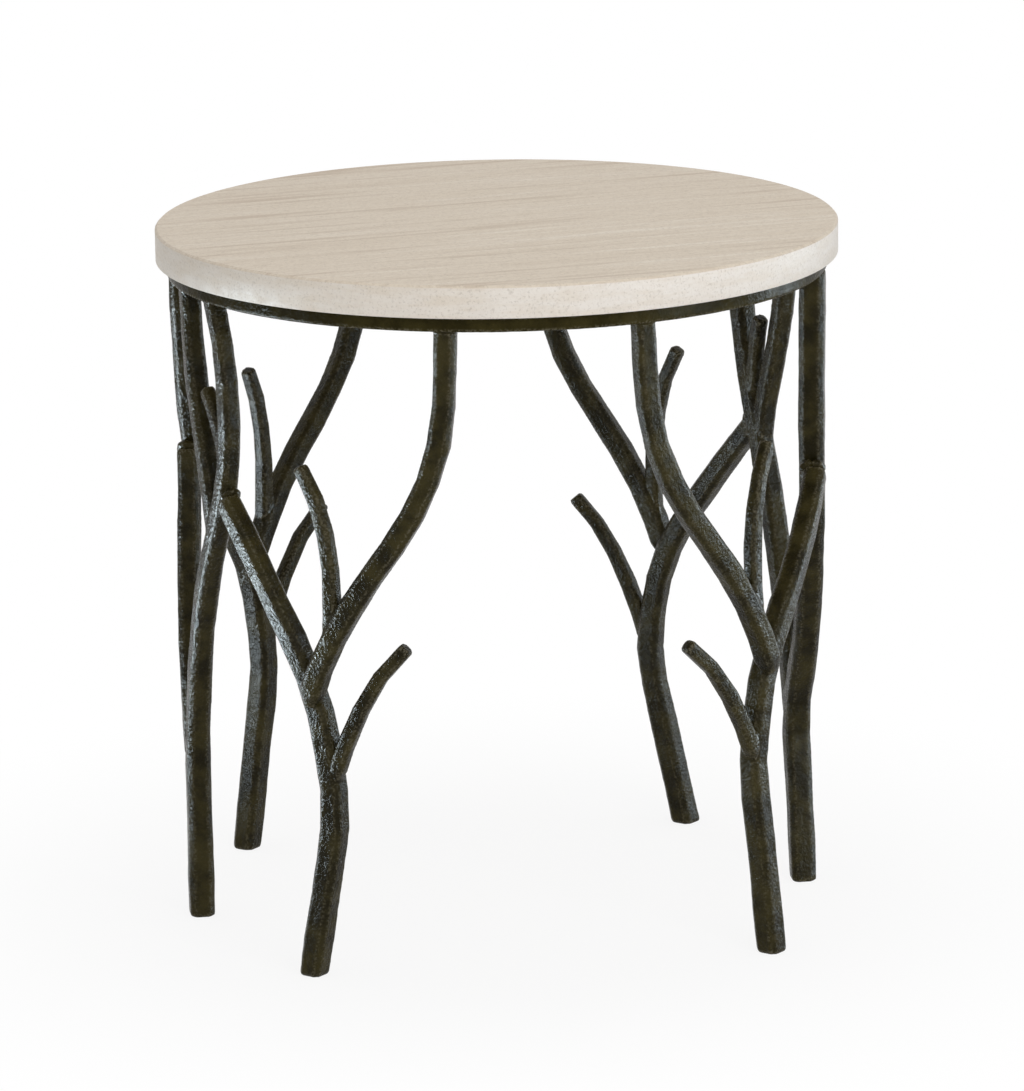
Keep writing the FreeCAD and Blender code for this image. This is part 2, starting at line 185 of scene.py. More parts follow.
# Lamps: place, aim, width and height. The gloss cards stand below the slab, so its top never shows them
TABLE_MIDDLE = (0.0, 0.0, 0.35)
FRONT_LAMP = ((0.9, -3.15, 1.9), TABLE_MIDDLE, 2.2, 1.6)
TOP_LAMP = ((0.1, 0.2, 2.6), TABLE_MIDDLE, 0.9, 0.9)
LEFT_CARD = ((-1.2, 0.1, 0.01), (-1.2, 0.1, 1.0), 0.9, 0.4)
RIGHT_CARD = ((1.7, -1.15, 0.31), (0.0, 0.0, 0.31), 0.3, 0.58)
FAR_CARD = ((2.0, 0.35, 0.31), (0.0, 0.0, 0.31), 0.3, 0.58)

# Sockets of Blender's colour mix node
MIX_SHARE, MIX_FIRST, MIX_SECOND, MIX_RESULT = 0, 6, 7, 2


class IronLook(bpy.types.PropertyGroup):
    """Shape and finish of the forged iron"""
    skin_pitch: bpy.props.FloatProperty(
        name="Skin pitch", description="Spacing of the points on a bar's hammered skin",
        default=0.0016, min=0.001, max=0.004, unit="LENGTH")
    dent_size: bpy.props.FloatProperty(
        name="Dent size", description="Width of a hammer dent",
        default=0.017, min=0.004, max=0.05, unit="LENGTH")
    dent_depth: bpy.props.FloatProperty(
        name="Dent depth", description="Depth of a hammer dent",
        default=0.0004, min=0.0, max=0.003, unit="LENGTH")
    wander: bpy.props.FloatProperty(
        name="Wander", description="How far a bar's faces wander between dents",
        default=0.0004, min=0.0, max=0.004, unit="LENGTH")
    weld: bpy.props.FloatProperty(
        name="Weld", description="Leg of the weld between two bars",
        default=0.0045, min=0.001, max=0.01, unit="LENGTH")
    ring_weld: bpy.props.FloatProperty(
        name="Ring weld", description="Leg of the weld between a bar and the ring",
        default=0.0025, min=0.001, max=0.01, unit="LENGTH")
    lap_reach: bpy.props.FloatProperty(
        name="Lap reach", description="Widest gap that a lap's weld fills",
        default=0.0065, min=0.001, max=0.02, unit="LENGTH")
    dark: bpy.props.FloatVectorProperty(
        name="Dark", description="Colour in the hollows of the finish",
        default=(0.0122, 0.0098, 0.0026), size=3, min=0.0, max=1.0, subtype="COLOR")
    bronze: bpy.props.FloatVectorProperty(
        name="Bronze", description="Colour on the faces",
        default=(0.038, 0.0312, 0.0095), size=3, min=0.0, max=1.0, subtype="COLOR")
    # Lighter colour on the corners: the rubbed finish, and partly a painted highlight along the arrises
    rubbed_and_highlit: bpy.props.FloatVectorProperty(
        name="Rubbed", description="Colour where the finish is rubbed on the corners",
        default=(0.13, 0.116, 0.078), size=3, min=0.0, max=1.0, subtype="COLOR")


class StoneLook(bpy.types.PropertyGroup):
    """Finish of the slab"""
    ground: bpy.props.FloatVectorProperty(
        name="Ground", description="Main colour of the stone",
        default=(0.677, 0.594, 0.488), size=3, min=0.0, max=1.0, subtype="COLOR")
    vein: bpy.props.FloatVectorProperty(
        name="Vein", description="Colour of the darker veins",
        default=(0.538, 0.444, 0.352), size=3, min=0.0, max=1.0, subtype="COLOR")
    pale: bpy.props.FloatVectorProperty(
        name="Pale vein", description="Colour of the paler veins",
        default=(0.742, 0.676, 0.58), size=3, min=0.0, max=1.0, subtype="COLOR")
    edge: bpy.props.FloatVectorProperty(
        name="Edge", description="Colour of the cut edge",
        default=(0.78, 0.735, 0.68), size=3, min=0.0, max=1.0, subtype="COLOR")
    vein_turn: bpy.props.FloatProperty(
        name="Vein turn", description="Direction of the veins from the table's X axis",
        default=math.radians(10.5), subtype="ANGLE")
    arris: bpy.props.FloatProperty(
        name="Arris", description="Rounding of the slab's edges",
        default=0.0008, min=0.0, max=0.002, unit="LENGTH")


class StageLook(bpy.types.PropertyGroup):
    """Floor and lamps"""
    floor_size: bpy.props.FloatProperty(
        name="Floor", description="Side of the floor", default=30.0, min=4.0, unit="LENGTH")
    left_power: bpy.props.FloatProperty(
        name="Left", description="Power of the low gloss card on the left",
        default=125.0, min=0.0, subtype="POWER")
    right_power: bpy.props.FloatProperty(
        name="Right", description="Power of each gloss card on the right",
        default=32.0, min=0.0, subtype="POWER")
    front_power: bpy.props.FloatProperty(
        name="Front", description="Power of the lamp in front",
        default=45.0, min=0.0, subtype="POWER")
    top_power: bpy.props.FloatProperty(
        name="Top", description="Power of the overhead lamp", default=7.0, min=0.0, subtype="POWER")
    air: bpy.props.FloatProperty(
        name="Air", description="Brightness of the light from all round",
        default=0.6, min=0.0, max=1.0, subtype="FACTOR")
    tint: bpy.props.FloatVectorProperty(
        name="Tint", description="Colour of the gloss cards",
        default=(0.78, 0.92, 1.0), size=3, min=0.0, max=1.0, subtype="COLOR")


def put(tree, kind, inputs=None, **settings):
    """Adds a node, sets its settings, and feeds its inputs with values or links."""
    node = tree.nodes.new(kind)
    for name, value in settings.items():
        setattr(node, name, value)
    for name, value in (inputs or {}).items():
        if isinstance(value, bpy.types.NodeSocket):
            tree.links.new(value, node.inputs[name])
        else:
            node.inputs[name].default_value = value
    return node


def maths(tree, operation, first, second=0.0):
    """Value of one sum."""
    return put(tree, "ShaderNodeMath", {0: first, 1: second}, operation=operation).outputs[0]


def vector_maths(tree, operation, first, second):
    """Vector of one sum."""
    return put(tree, "ShaderNodeVectorMath", {0: first, 1: second}, operation=operation).outputs[0]


def blend(tree, share, first, second):
    """Colour between two colours."""
    inputs = {MIX_SHARE: share, MIX_FIRST: first, MIX_SECOND: second}
    return put(tree, "ShaderNodeMix", inputs, data_type="RGBA").outputs[MIX_RESULT]


def spread(tree, value, band, shares=(0.0, 1.0)):
    """Value moved from one range to another, with soft ends."""
    low, high = band
    to_low, to_high = shares
    inputs = {"Value": value, "From Min": low, "From Max": high, "To Min": to_low, "To Max": to_high}
    return put(tree, "ShaderNodeMapRange", inputs, interpolation_type="SMOOTHSTEP").outputs["Result"]


def noise_at(tree, place, scale, detail, roughness=0.5):
    """Noise node at a place."""
    inputs = {"Vector": place, "Scale": scale, "Detail": detail, "Roughness": roughness}
    return put(tree, "ShaderNodeTexNoise", inputs)


def solid(colour):
    """Colour with full alpha, for a socket."""
    return (*colour, 1.0)


def new_material(name):
    """Material with its node tree and its Principled shader."""
    material = bpy.data.materials.new(name)
    material.use_nodes = True
    return material, material.node_tree, material.node_tree.nodes["Principled BSDF"]


def new_group(name, inputs, outputs):
    """Empty shader group with named inputs and outputs, and its two end nodes."""
    group = bpy.data.node_groups.new(name, "ShaderNodeTree")
    for socket_name, default in inputs:
        socket = group.interface.new_socket(socket_name, in_out="INPUT", socket_type="NodeSocketFloat")
        socket.default_value = default
    for socket_name in outputs:
        group.interface.new_socket(socket_name, in_out="OUTPUT", socket_type="NodeSocketFloat")
    return group, group.nodes.new("NodeGroupInput"), group.nodes.new("NodeGroupOutput")


def forge_marks():
    """Group: relief and tone of hammered, scaled iron."""
    found = bpy.data.node_groups.get("Forge marks")
    if found:
        return found
    group, given, result = new_group(
        "Forge marks", (("Dents", 70.0), ("Grain", 420.0), ("Grain share", 0.5)),
        ("Height", "Tone", "Speck"))
    place = put(group, "ShaderNodeTexCoord").outputs["Object"]
    warp = noise_at(group, place, WARP_MARKS, detail=2.0).outputs["Color"]
    shift = vector_maths(group, "MULTIPLY", warp, (WARP_REACH, WARP_REACH, WARP_REACH))
    moved = vector_maths(group, "ADD", place, shift)
    dent_inputs = {"Vector": moved, "Scale": given.outputs["Dents"], "Smoothness": 0.6}
    dents = put(group, "ShaderNodeTexVoronoi", dent_inputs, feature="SMOOTH_F1").outputs["Distance"]
    grain = noise_at(group, moved, given.outputs["Grain"], detail=3.0, roughness=0.55).outputs[0]
    tone = noise_at(group, place, TONE_MARKS, detail=4.0, roughness=0.6).outputs[0]
    speck = noise_at(group, place, SPECK_MARKS, detail=3.0).outputs[0]
    fine = maths(group, "MULTIPLY", grain, given.outputs["Grain share"])
    height = maths(group, "ADD", maths(group, "MULTIPLY", dents, DENT_SHARE), fine)
    group.links.new(height, result.inputs["Height"])
    group.links.new(tone, result.inputs["Tone"])
    group.links.new(speck, result.inputs["Speck"])
    return group


def put_marks(tree, dents, grain, grain_share=0.5):
    """Outputs of the forge marks, placed in a material with its own values."""
    inputs = {"Dents": dents, "Grain": grain, "Grain share": grain_share}
    return put(tree, "ShaderNodeGroup", inputs, node_tree=forge_marks()).outputs


def put_relief(tree, shader, height, distance, strength=1.0):
    """Bump on a shader's normal."""
    inputs = {"Strength": strength, "Distance": distance, "Height": height}
    bump = put(tree, "ShaderNodeBump", inputs)
    tree.links.new(bump.outputs["Normal"], shader.inputs["Normal"])


def iron_material(name, look, dents, grain, grain_share, relief, gloss, evenness=0.0):
    """Dark bronzed iron: blackish in the hollows, rubbed on the corners and lightened there as a painted
    highlight, with a scaly hammered relief.
    """
    material, tree, shader = new_material(name)
    marks = put_marks(tree, dents, grain, grain_share)
    bronze_share = spread(tree, marks["Tone"], BRONZE_TONES, (evenness, 1.0))
    face = blend(tree, bronze_share, solid(look.dark), solid(look.bronze))
    # Corners lightened by their pointiness: the rubbed finish, and partly a painted highlight along the
    # arrises
    point = put(tree, "ShaderNodeNewGeometry").outputs["Pointiness"]
    corner = spread(tree, point, RUBBED_HIGHLIGHT_CORNERS)
    rubbed_highlight_share = maths(tree, "MULTIPLY", corner, spread(tree, marks["Speck"], RUBBED_HIGHLIGHT_SPECKS))
    colour = blend(tree, maths(tree, "MULTIPLY", rubbed_highlight_share, RUBBED_HIGHLIGHT_SHARE), face, solid(look.rubbed_and_highlit))
    tree.links.new(colour, shader.inputs["Base Color"])
    rough = spread(tree, marks["Speck"], GLOSS_SPECKS, IRON_ROUGHNESS)
    tree.links.new(rough, shader.inputs["Roughness"])
    shader.inputs["Metallic"].default_value = 0.0
    shader.inputs["IOR"].default_value = 1.45
    shader.inputs["Specular IOR Level"].default_value = gloss
    put_relief(tree, shader, marks["Height"], relief)
    return material


def plain_metal(name, colour, roughness):
    """Small turned hardware: bright metal with a faint grain."""
    material, tree, shader = new_material(name)
    marks = put_marks(tree, dents=500.0, grain=1500.0)
    darker = [METAL_SHADE * part for part in colour]
    body = blend(tree, marks["Tone"], solid(darker), solid(colour))
    tree.links.new(body, shader.inputs["Base Color"])
    shares = (roughness - METAL_ROUGHNESS_CHANGE, roughness + METAL_ROUGHNESS_CHANGE)
    rough = spread(tree, marks["Speck"], METAL_SPECKS, shares)
    tree.links.new(rough, shader.inputs["Roughness"])
    shader.inputs["Metallic"].default_value = 1.0
    put_relief(tree, shader, marks["Height"], METAL_RELIEF)
    return material


def veins(tree, place, counts, detail):
    """Noise drawn out along the veins, with its counts along them and across them."""
    along, across = counts
    drawn = vector_maths(tree, "MULTIPLY", place, (along, across, across))
    return noise_at(tree, drawn, scale=1.0, detail=detail, roughness=0.6).outputs[0]


def stone_top_colour(tree, look, thin, broad, hair):
    """Colour of the honed faces: pale, dark and hair-thin veins on the ground."""
    dark_share = maths(tree, "MULTIPLY", spread(tree, thin, DARK_THIN), spread(tree, broad, DARK_BROAD))
    pale_share = maths(tree, "MULTIPLY", spread(tree, thin, PALE_THIN), spread(tree, broad, PALE_BROAD))
    hair_share = spread(tree, hair, HAIR_BAND)
    marks = ((pale_share, PALE_VEIN_SHARE, look.pale), (dark_share, DARK_VEIN_SHARE, look.vein),
             (hair_share, HAIR_VEIN_SHARE, look.vein))
    colour = solid(look.ground)
    for share, strength, vein in marks:
        colour = blend(tree, maths(tree, "MULTIPLY", share, strength), colour, solid(vein))
    return colour


def stone_edge_colour(tree, look, raw):
    """Colour of the cut edge: flat layers, and more of the ground's tan to the left."""
    side = put(tree, "ShaderNodeSeparateXYZ", {0: raw}).outputs["X"]
    flat = vector_maths(tree, "MULTIPLY", raw, EDGE_LAYERS)
    layer = noise_at(tree, flat, scale=1.0, detail=5.0, roughness=0.6).outputs[0]
    layer_share = spread(tree, layer, TAN_LAYERS, TAN_LAYER_SHARES)
    tan_share = maths(tree, "ADD", spread(tree, side, TAN_SIDES, TAN_SIDE_SHARES), layer_share)
    return blend(tree, maths(tree, "MAXIMUM", tan_share, 0.0), solid(look.edge), solid(look.ground))


def stone_material(look):
    """Vein-cut stone: long thin veins on the honed faces, a paler cut edge, fine pores all over."""
    material, tree, shader = new_material("vein_cut_stone")
    raw = put(tree, "ShaderNodeTexCoord").outputs["Object"]
    turn = {"Vector": raw, "Rotation": (0.0, 0.0, -look.vein_turn)}
    place = put(tree, "ShaderNodeMapping", turn).outputs[0]
    sway = noise_at(tree, place, VEIN_SWAYS, detail=1.0).outputs["Color"]
    bend = vector_maths(tree, "MULTIPLY", sway, (0.0, VEIN_SWAY_REACH, 0.0))
    bent = vector_maths(tree, "ADD", place, bend)
    broad = veins(tree, bent, BROAD_VEINS, detail=3.0)
    thin = veins(tree, bent, THIN_VEINS, detail=4.0)
    hair = veins(tree, bent, HAIR_VEINS, detail=4.0)
    pore = noise_at(tree, raw, PORES, detail=4.0).outputs[0]
    grit = noise_at(tree, raw, GRIT, detail=3.0).outputs[0]

    normal = put(tree, "ShaderNodeNewGeometry").outputs["Normal"]
    facing = put(tree, "ShaderNodeSeparateXYZ", {0: normal}).outputs["Z"]
    level = spread(tree, maths(tree, "ABSOLUTE", facing), LEVEL_SLOPES)
    top = stone_top_colour(tree, look, thin, broad, hair)
    body = blend(tree, level, stone_edge_colour(tree, look, raw), top)
    grit_share = spread(tree, grit, GRIT_BAND, GRIT_SHARES)
    gritty = maths(tree, "MULTIPLY", grit_share, spread(tree, level, (0.0, 1.0), GRIT_FACE_SHARES))
    body = blend(tree, gritty, body, solid(look.vein))
    pitted = maths(tree, "MULTIPLY", spread(tree, pore, PORE_BAND), PORE_SHARE)
    colour = blend(tree, pitted, body, solid([PORE_DARKNESS * part for part in look.vein]))
    tree.links.new(colour, shader.inputs["Base Color"])
    tree.links.new(spread(tree, thin, ROUGH_VEINS, STONE_ROUGHNESS), shader.inputs["Roughness"])
    shader.inputs["IOR"].default_value = 1.48
    shader.inputs["Specular IOR Level"].default_value = 0.1
    pits = put(tree, "ShaderNodeTexVoronoi", {"Vector": raw, "Scale": EDGE_PITS}).outputs["Distance"]
    upright = maths(tree, "SUBTRACT", 1.0, level)
    pit_height = maths(tree, "MULTIPLY", spread(tree, pits, PIT_BAND), upright)
    relief = maths(tree, "SUBTRACT", maths(tree, "MULTIPLY", pit_height, PIT_SHARE), pitted)
    put_relief(tree, shader, relief, STONE_RELIEF, STONE_RELIEF_STRENGTH)
    return material


def dress(node_name, material):
    """Gives a CAD node its material."""
    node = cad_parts[node_name]
    node.data.materials.clear()
    node.data.materials.append(material)
    return node


def join_faces(node):
    """Joins the faces of a CAD node's mesh along their edges."""
    join = node.modifiers.new("Join faces", "WELD")
    join.merge_threshold = FACE_JOIN


def hammer_texture(name, kind, size):
    """Solid texture for hammering a skin."""
    texture = bpy.data.textures.get(name)
    if texture is None:
        texture = bpy.data.textures.new(name, kind)
        texture.noise_scale = size
    return texture


def level_feet():
    """Geometry group: lifts whatever the hammer pushed under the floor."""
    found = bpy.data.node_groups.get("Level feet")
    if found:
        return found
    group = bpy.data.node_groups.new("Level feet", "GeometryNodeTree")
    group.interface.new_socket("Geometry", in_out="INPUT", socket_type="NodeSocketGeometry")
    group.interface.new_socket("Geometry", in_out="OUTPUT", socket_type="NodeSocketGeometry")
    shape = group.nodes.new("NodeGroupInput").outputs[0]
    place = put(group, "GeometryNodeInputPosition").outputs[0]
    parts = put(group, "ShaderNodeSeparateXYZ", {0: place}).outputs
    height = maths(group, "MAXIMUM", parts["Z"], 0.0)
    lifted = put(group, "ShaderNodeCombineXYZ", {"X": parts["X"], "Y": parts["Y"], "Z": height}).outputs[0]
    moved = put(group, "GeometryNodeSetPosition", {"Geometry": shape, "Position": lifted}).outputs[0]
    group.links.new(moved, group.nodes.new("NodeGroupOutput").inputs[0])
    return group


def hammered_skin(node, look, share):
    """Lays an even skin over a bar, softens its corners and hammers it."""
    join_faces(node)
    skin = node.modifiers.new("Skin", "REMESH")
    skin.mode = "VOXEL"
    skin.voxel_size = look.skin_pitch
    skin.use_smooth_shade = True
    ease = node.modifiers.new("Ease", "SMOOTH")
    ease.factor = CORNER_EASE
    ease.iterations = 1
    for name, kind, size, depth in (
            ("Hammer dents", "VORONOI", look.dent_size, look.dent_depth),
            ("Wander", "CLOUDS", WANDER_SIZE_RATIO * look.dent_size, look.wander)):
        blow = node.modifiers.new(name, "DISPLACE")
        blow.texture = hammer_texture(name, kind, size)
        blow.texture_coords = "LOCAL"
        blow.direction = "NORMAL"
        blow.mid_level = BLOW_REST_LEVEL
        blow.strength = depth * share
    level = node.modifiers.new("Level feet", "NODES")
    level.node_group = level_feet()


def bar_names():
    """Names of all the bars."""
    names = [tree + "_" + bar for tree in CORNER_TREES for bar in CORNER_BARS]
    return names + [tree + "_" + bar for tree in MIDDLE_TREES for bar in MIDDLE_BARS]


class SeamPoint:
    """Point of a joint's seam, with the ways out along both surfaces and their outward normals."""

    def __init__(self, *vectors):
        self.place, self.on_child, self.on_parent, self.child_out, self.parent_out = vectors

    def vectors(self):
        """All five vectors, in order."""
        return self.place, self.on_child, self.on_parent, self.child_out, self.parent_out

    def toward(self, other, share):
        """Point between this one and another."""
        pairs = zip(self.vectors(), other.vectors())
        return SeamPoint(*(first.lerp(second, share) for first, second in pairs))


def laid_faces(body, surface):
    """Faces of a bar that lie on the surface of the piece that it is welded to."""

    def touches(point):
        return surface.find_nearest(point, SEAM_TOUCH)[0] is not None

    near = {vertex for vertex in body.verts if touches(vertex.co)}
    return {face for face in body.faces
            if all(vertex in near for vertex in face.verts) and touches(face.calc_center_median())}


def rim_ways(edge, laid):
    """Ways out from one seam edge: along the child's face, along the parent's, and their normals."""
    covered = next(face for face in edge.link_faces if face in laid)
    bare = next(face for face in edge.link_faces if face not in laid)
    middle = (edge.verts[0].co + edge.verts[1].co) / 2.0
    along = (edge.verts[1].co - edge.verts[0].co).normalized()

    def across(face):
        way = face.calc_center_median() - middle
        return (way - along * way.dot(along)).normalized()

    return across(bare), -across(covered), bare.normal.copy(), -covered.normal


def seam_chains(neighbours):
    """Lines of vertices along the seam edges, and whether each is closed."""
    chains = []
    left = set(neighbours)
    order = sorted(neighbours, key=lambda vertex: (len(neighbours[vertex]) != 1, tuple(vertex.co)))
    for start in order:
        if start not in left:
            continue
        chain = [start]
        left.discard(start)
        while True:
            ahead = [vertex for vertex in neighbours[chain[-1]] if vertex in left]
            if not ahead:
                break
            chain.append(min(ahead, key=lambda vertex: tuple(vertex.co)))
            left.discard(chain[-1])
        closed = chain[0] in neighbours[chain[-1]] and len(chain) > 2
        chains.append((chain, closed))
    return chains


def seam_loops(child, parent):
    """Lines where a bar's coped end meets the piece that it is welded to."""
    corners = [vertex.co for vertex in parent.data.vertices]
    surface = BVHTree.FromPolygons(corners, [tuple(face.vertices) for face in parent.data.polygons])
    body = bmesh.new()
    body.from_mesh(child.data)
    bmesh.ops.remove_doubles(body, verts=body.verts, dist=SEAM_JOIN)
    laid = laid_faces(body, surface)
    neighbours = {}
    ways = {}
    for edge in body.edges:
        if len(edge.link_faces) != 2 or sum(face in laid for face in edge.link_faces) != 1:
            continue
        first, second = edge.verts
        neighbours.setdefault(first, []).append(second)
        neighbours.setdefault(second, []).append(first)
        for vertex in edge.verts:
            ways.setdefault(vertex, []).append(rim_ways(edge, laid))

    def seam_point(vertex):
        means = (sum(same, Vector()).normalized() for same in zip(*ways[vertex]))
        return SeamPoint(vertex.co.copy(), *means)

    chains = seam_chains(neighbours)
    loops = [([seam_point(vertex) for vertex in chain], closed) for chain, closed in chains]
    body.free()
    return loops


def line_length(points):
    """Length of a seam's line."""
    return sum((second.place - first.place).length for first, second in zip(points, points[1:]))


def even_points(points, closed, pitch):
    """Points along a seam at an even pitch."""
    ring = points + points[:1] if closed else points
    lengths = [(second.place - first.place).length for first, second in zip(ring, ring[1:])]
    total = sum(lengths)
    count = max(4, round(total / pitch))
    steps = count if closed else count + 1
    made = []
    index, passed = 0, 0.0
    for step in range(steps):
        target = total * step / count
        while index < len(lengths) - 1 and passed + lengths[index] < target:
            passed += lengths[index]
            index += 1
        share = (target - passed) / lengths[index] if lengths[index] else 0.0
        made.append(ring[index].toward(ring[index + 1], min(1.0, share)))
    return made


def eased_line(points, closed):
    """Seam with its kinks eased."""
    for _ in range(SEAM_EASE_ROUNDS):
        eased = []
        for index, point in enumerate(points):
            if not closed and index in (0, len(points) - 1):
                eased.append(point)
                continue
            between = points[index - 1].toward(points[(index + 1) % len(points)], 0.5)
            eased.append(point.toward(between, 0.5))
        points = eased
    return points


def sunk_point(skin, point, depth):
    """Nearest point on a skin, moved a little under it."""
    place, out, _, _ = skin.find_nearest(point)
    return place - out * depth


def fillet_section(point, reach, sink, child_skin, parent_skin):
    """Hollow curve from the bar's skin to the skin of the piece it is welded to, and a root behind it."""
    on_child, on_parent, child_out, parent_out = (way.normalized() for way in point.vectors()[1:])
    top = sunk_point(child_skin, point.place + on_child * reach, sink)
    foot = sunk_point(parent_skin, point.place + on_parent * reach, sink)
    out = child_out + parent_out
    pull = point.place + out * FILLET_PULL_SHARE * reach
    section = []
    for step in range(FILLET_STEPS + 1):
        share = step / FILLET_STEPS
        rest = 1.0 - share
        section.append(top * rest ** 2 + pull * 2.0 * share * rest + foot * share ** 2)
    section.append(point.place - out * FILLET_ROOT_SHARE * reach)
    return section


def lay_fillet(mesh, points, closed, leg, child_skin, parent_skin):
    """Adds one lumpy fillet of weld along a seam, its edges just under both skins."""
    sections = []
    for index, point in enumerate(points):
        lump = LUMP_SHARE * noise.noise(point.place * LUMPS)
        ripple = RIPPLE_SHARE * math.sin(index * RIPPLE_STEP)
        reach = leg * (1.0 + lump + ripple)
        if not closed and index in (0, len(points) - 1):
            reach *= FILLET_END_SHARE
        section = fillet_section(point, reach, FILLET_SINK_SHARE * leg, child_skin, parent_skin)
        sections.append([mesh.verts.new(place) for place in section])
    pairs = list(zip(sections, sections[1:]))
    if closed:
        pairs.append((sections[-1], sections[0]))
    else:
        mesh.faces.new(list(reversed(sections[0])))
        mesh.faces.new(sections[-1])
    for first, second in pairs:
        for side in range(len(first)):
            following = (side + 1) % len(first)
            mesh.faces.new((first[side], first[following], second[following], second[side]))


def weld_pairs(tree_name, bars, welds):
    """Pieces of one tree that are welded together, to the ring, and to the next tree."""
    pairs = [(tree_name + "_" + child, tree_name + "_" + parent) for child, parent in welds]
    pairs += [(tree_name + "_" + bar, RING) for bar in bars]
    return pairs + [pair for pair in LAP_WELDS if pair[0].startswith(tree_name + "_")]


def weld_leg(child, parent, look):
    """Leg of the weld between two pieces, smaller on the ring and on twigs."""
    if parent == RING:
        return look.ring_weld
    return look.weld * (TWIG_WELD_SHARE if "twig" in child else 1.0)


def skin_points(node):
    """Points and faces of a piece's finished skin."""
    shaped = node.evaluated_get(bpy.context.evaluated_depsgraph_get())
    mesh = shaped.to_mesh()
    points = [vertex.co.copy() for vertex in mesh.vertices]
    faces = [tuple(face.vertices) for face in mesh.polygons]
    shaped.to_mesh_clear()
    return points, faces


def finished_skin(name, skins):
    """Points of a piece's finished skin and a tree that finds places on it, kept for its next joint."""
    if name not in skins:
        points, faces = skin_points(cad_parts[name])
        skins[name] = points, BVHTree.FromPolygons(points, faces)
    return skins[name]


def lap_blobs(points, surface, look):
    """Mesh of round blobs that fill the gap between the points of a bar's skin and the bar beside it."""
    crust_level = max(point.z for point in points) - look.weld
    blobs = bmesh.new()
    filled = set()
    for point in points:
        crust = LAP_CRUST if point.z > crust_level else 1.0
        meeting, _, _, gap = surface.find_nearest(point, crust * look.lap_reach)
        if meeting is None:
            continue
        middle = (point + meeting) / 2.0
        cell = tuple(round(part / (LAP_CELL_SHARE * look.ring_weld)) for part in middle)
        if cell in filled:
            continue
        filled.add(cell)
        fullness = min(gap, look.lap_reach) / 2.0 + LAP_CROWN_SHARE * crust * look.ring_weld
        size = fullness * (1.0 + LAP_LUMP_SHARE * noise.noise(middle * LAP_LUMPS))
        bmesh.ops.create_icosphere(blobs, subdivisions=1, radius=size, matrix=Matrix.Translation(middle))
    return blobs


def lay_lap(mesh, points, surface, look):
    """Adds the lumpy weld that fills a lap, its blobs run together."""
    blobs = lap_blobs(points, surface, look)
    lump = bpy.data.meshes.new("lap")
    blobs.to_mesh(lump)
    blobs.free()
    holder = bpy.data.objects.new("lap", lump)
    bpy.context.scene.collection.objects.link(holder)
    skin = holder.modifiers.new("Skin", "REMESH")
    skin.mode = "VOXEL"
    skin.voxel_size = LAP_PITCH_SHARE * look.skin_pitch
    ease = holder.modifiers.new("Ease", "SMOOTH")
    ease.iterations = LAP_EASE_ROUNDS
    lumps, faces = skin_points(holder)
    bpy.data.objects.remove(holder)
    bpy.data.meshes.remove(lump)
    corners = [mesh.verts.new(point) for point in lumps]
    for face in faces:
        mesh.faces.new([corners[index] for index in face])


def weld_piece(tree_name, bars, welds, look, material, skins):
    """Makes all the welds of one tree, as one piece."""
    beads = bmesh.new()
    for child, parent in weld_pairs(tree_name, bars, welds):
        lapped = (child, parent) in LAP_WELDS
        seams = seam_loops(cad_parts[child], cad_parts[parent])
        if not (lapped or seams):
            continue
        child_points, child_skin = finished_skin(child, skins)
        _, parent_skin = finished_skin(parent, skins)
        if lapped:
            lay_lap(beads, child_points, parent_skin, look)
        leg = weld_leg(child, parent, look)
        for points, closed in seams:
            if line_length(points) < SHORTEST_SEAM_LEGS * leg:
                continue
            line = eased_line(even_points(points, closed, FILLET_PITCH_SHARE * leg), closed)
            lay_fillet(beads, line, closed, leg, child_skin, parent_skin)
    bmesh.ops.recalc_face_normals(beads, faces=beads.faces)
    mesh = bpy.data.meshes.new(tree_name + "_welds")
    beads.to_mesh(mesh)
    beads.free()
    mesh.shade_smooth()
    mesh.set_sharp_from_angle(angle=WELD_CREASE)
    mesh.materials.append(material)
    piece = bpy.data.objects.new(tree_name + "_welds", mesh)
    bpy.context.scene.collection.objects.link(piece)
    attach(piece, BODY)


class TABLE_OT_dress_slab(bpy.types.Operator):
    """Finish the stone slab"""
    bl_idname = "end_table.dress_slab"
    bl_label = "Dress slab"

    def execute(self, context):
        look = context.scene.end_table_stone
        slab = dress("stone_top", stone_material(look))
        join_faces(slab)
        arris = slab.modifiers.new("Arris", "BEVEL")
        arris.width = look.arris
        arris.segments = 2
        arris.limit_method = "ANGLE"
        arris.angle_limit = ARRIS_ANGLE
        arris.harden_normals = True
        return {"FINISHED"}


class TABLE_OT_forge_bars(bpy.types.Operator):
    """Hammer and finish the iron trees"""
    bl_idname = "end_table.forge_bars"
    bl_label = "Forge bars"

    def execute(self, context):
        look = context.scene.end_table_iron
        material = iron_material("hammered_iron", look, dents=75.0, grain=380.0, grain_share=1.0,
                                 relief=0.0012, gloss=0.085)
        for name in bar_names():
            share = TWIG_BLOW_SHARE if "twig" in name else 1.0
            hammered_skin(dress(name, material), look, share)
        return {"FINISHED"}


class TABLE_OT_dress_ring(bpy.types.Operator):
    """Finish the rolled ring and its tabs"""
    bl_idname = "end_table.dress_ring"
    bl_label = "Dress ring"

    def execute(self, context):
        look = context.scene.end_table_iron
        material = iron_material("rolled_iron", look, dents=45.0, grain=420.0, grain_share=0.9,
                                 relief=0.0006, gloss=0.02, evenness=0.35)
        hammered_skin(dress(RING, material), look, RING_BLOW_SHARE)
        dress("top_tabs", material)
        return {"FINISHED"}


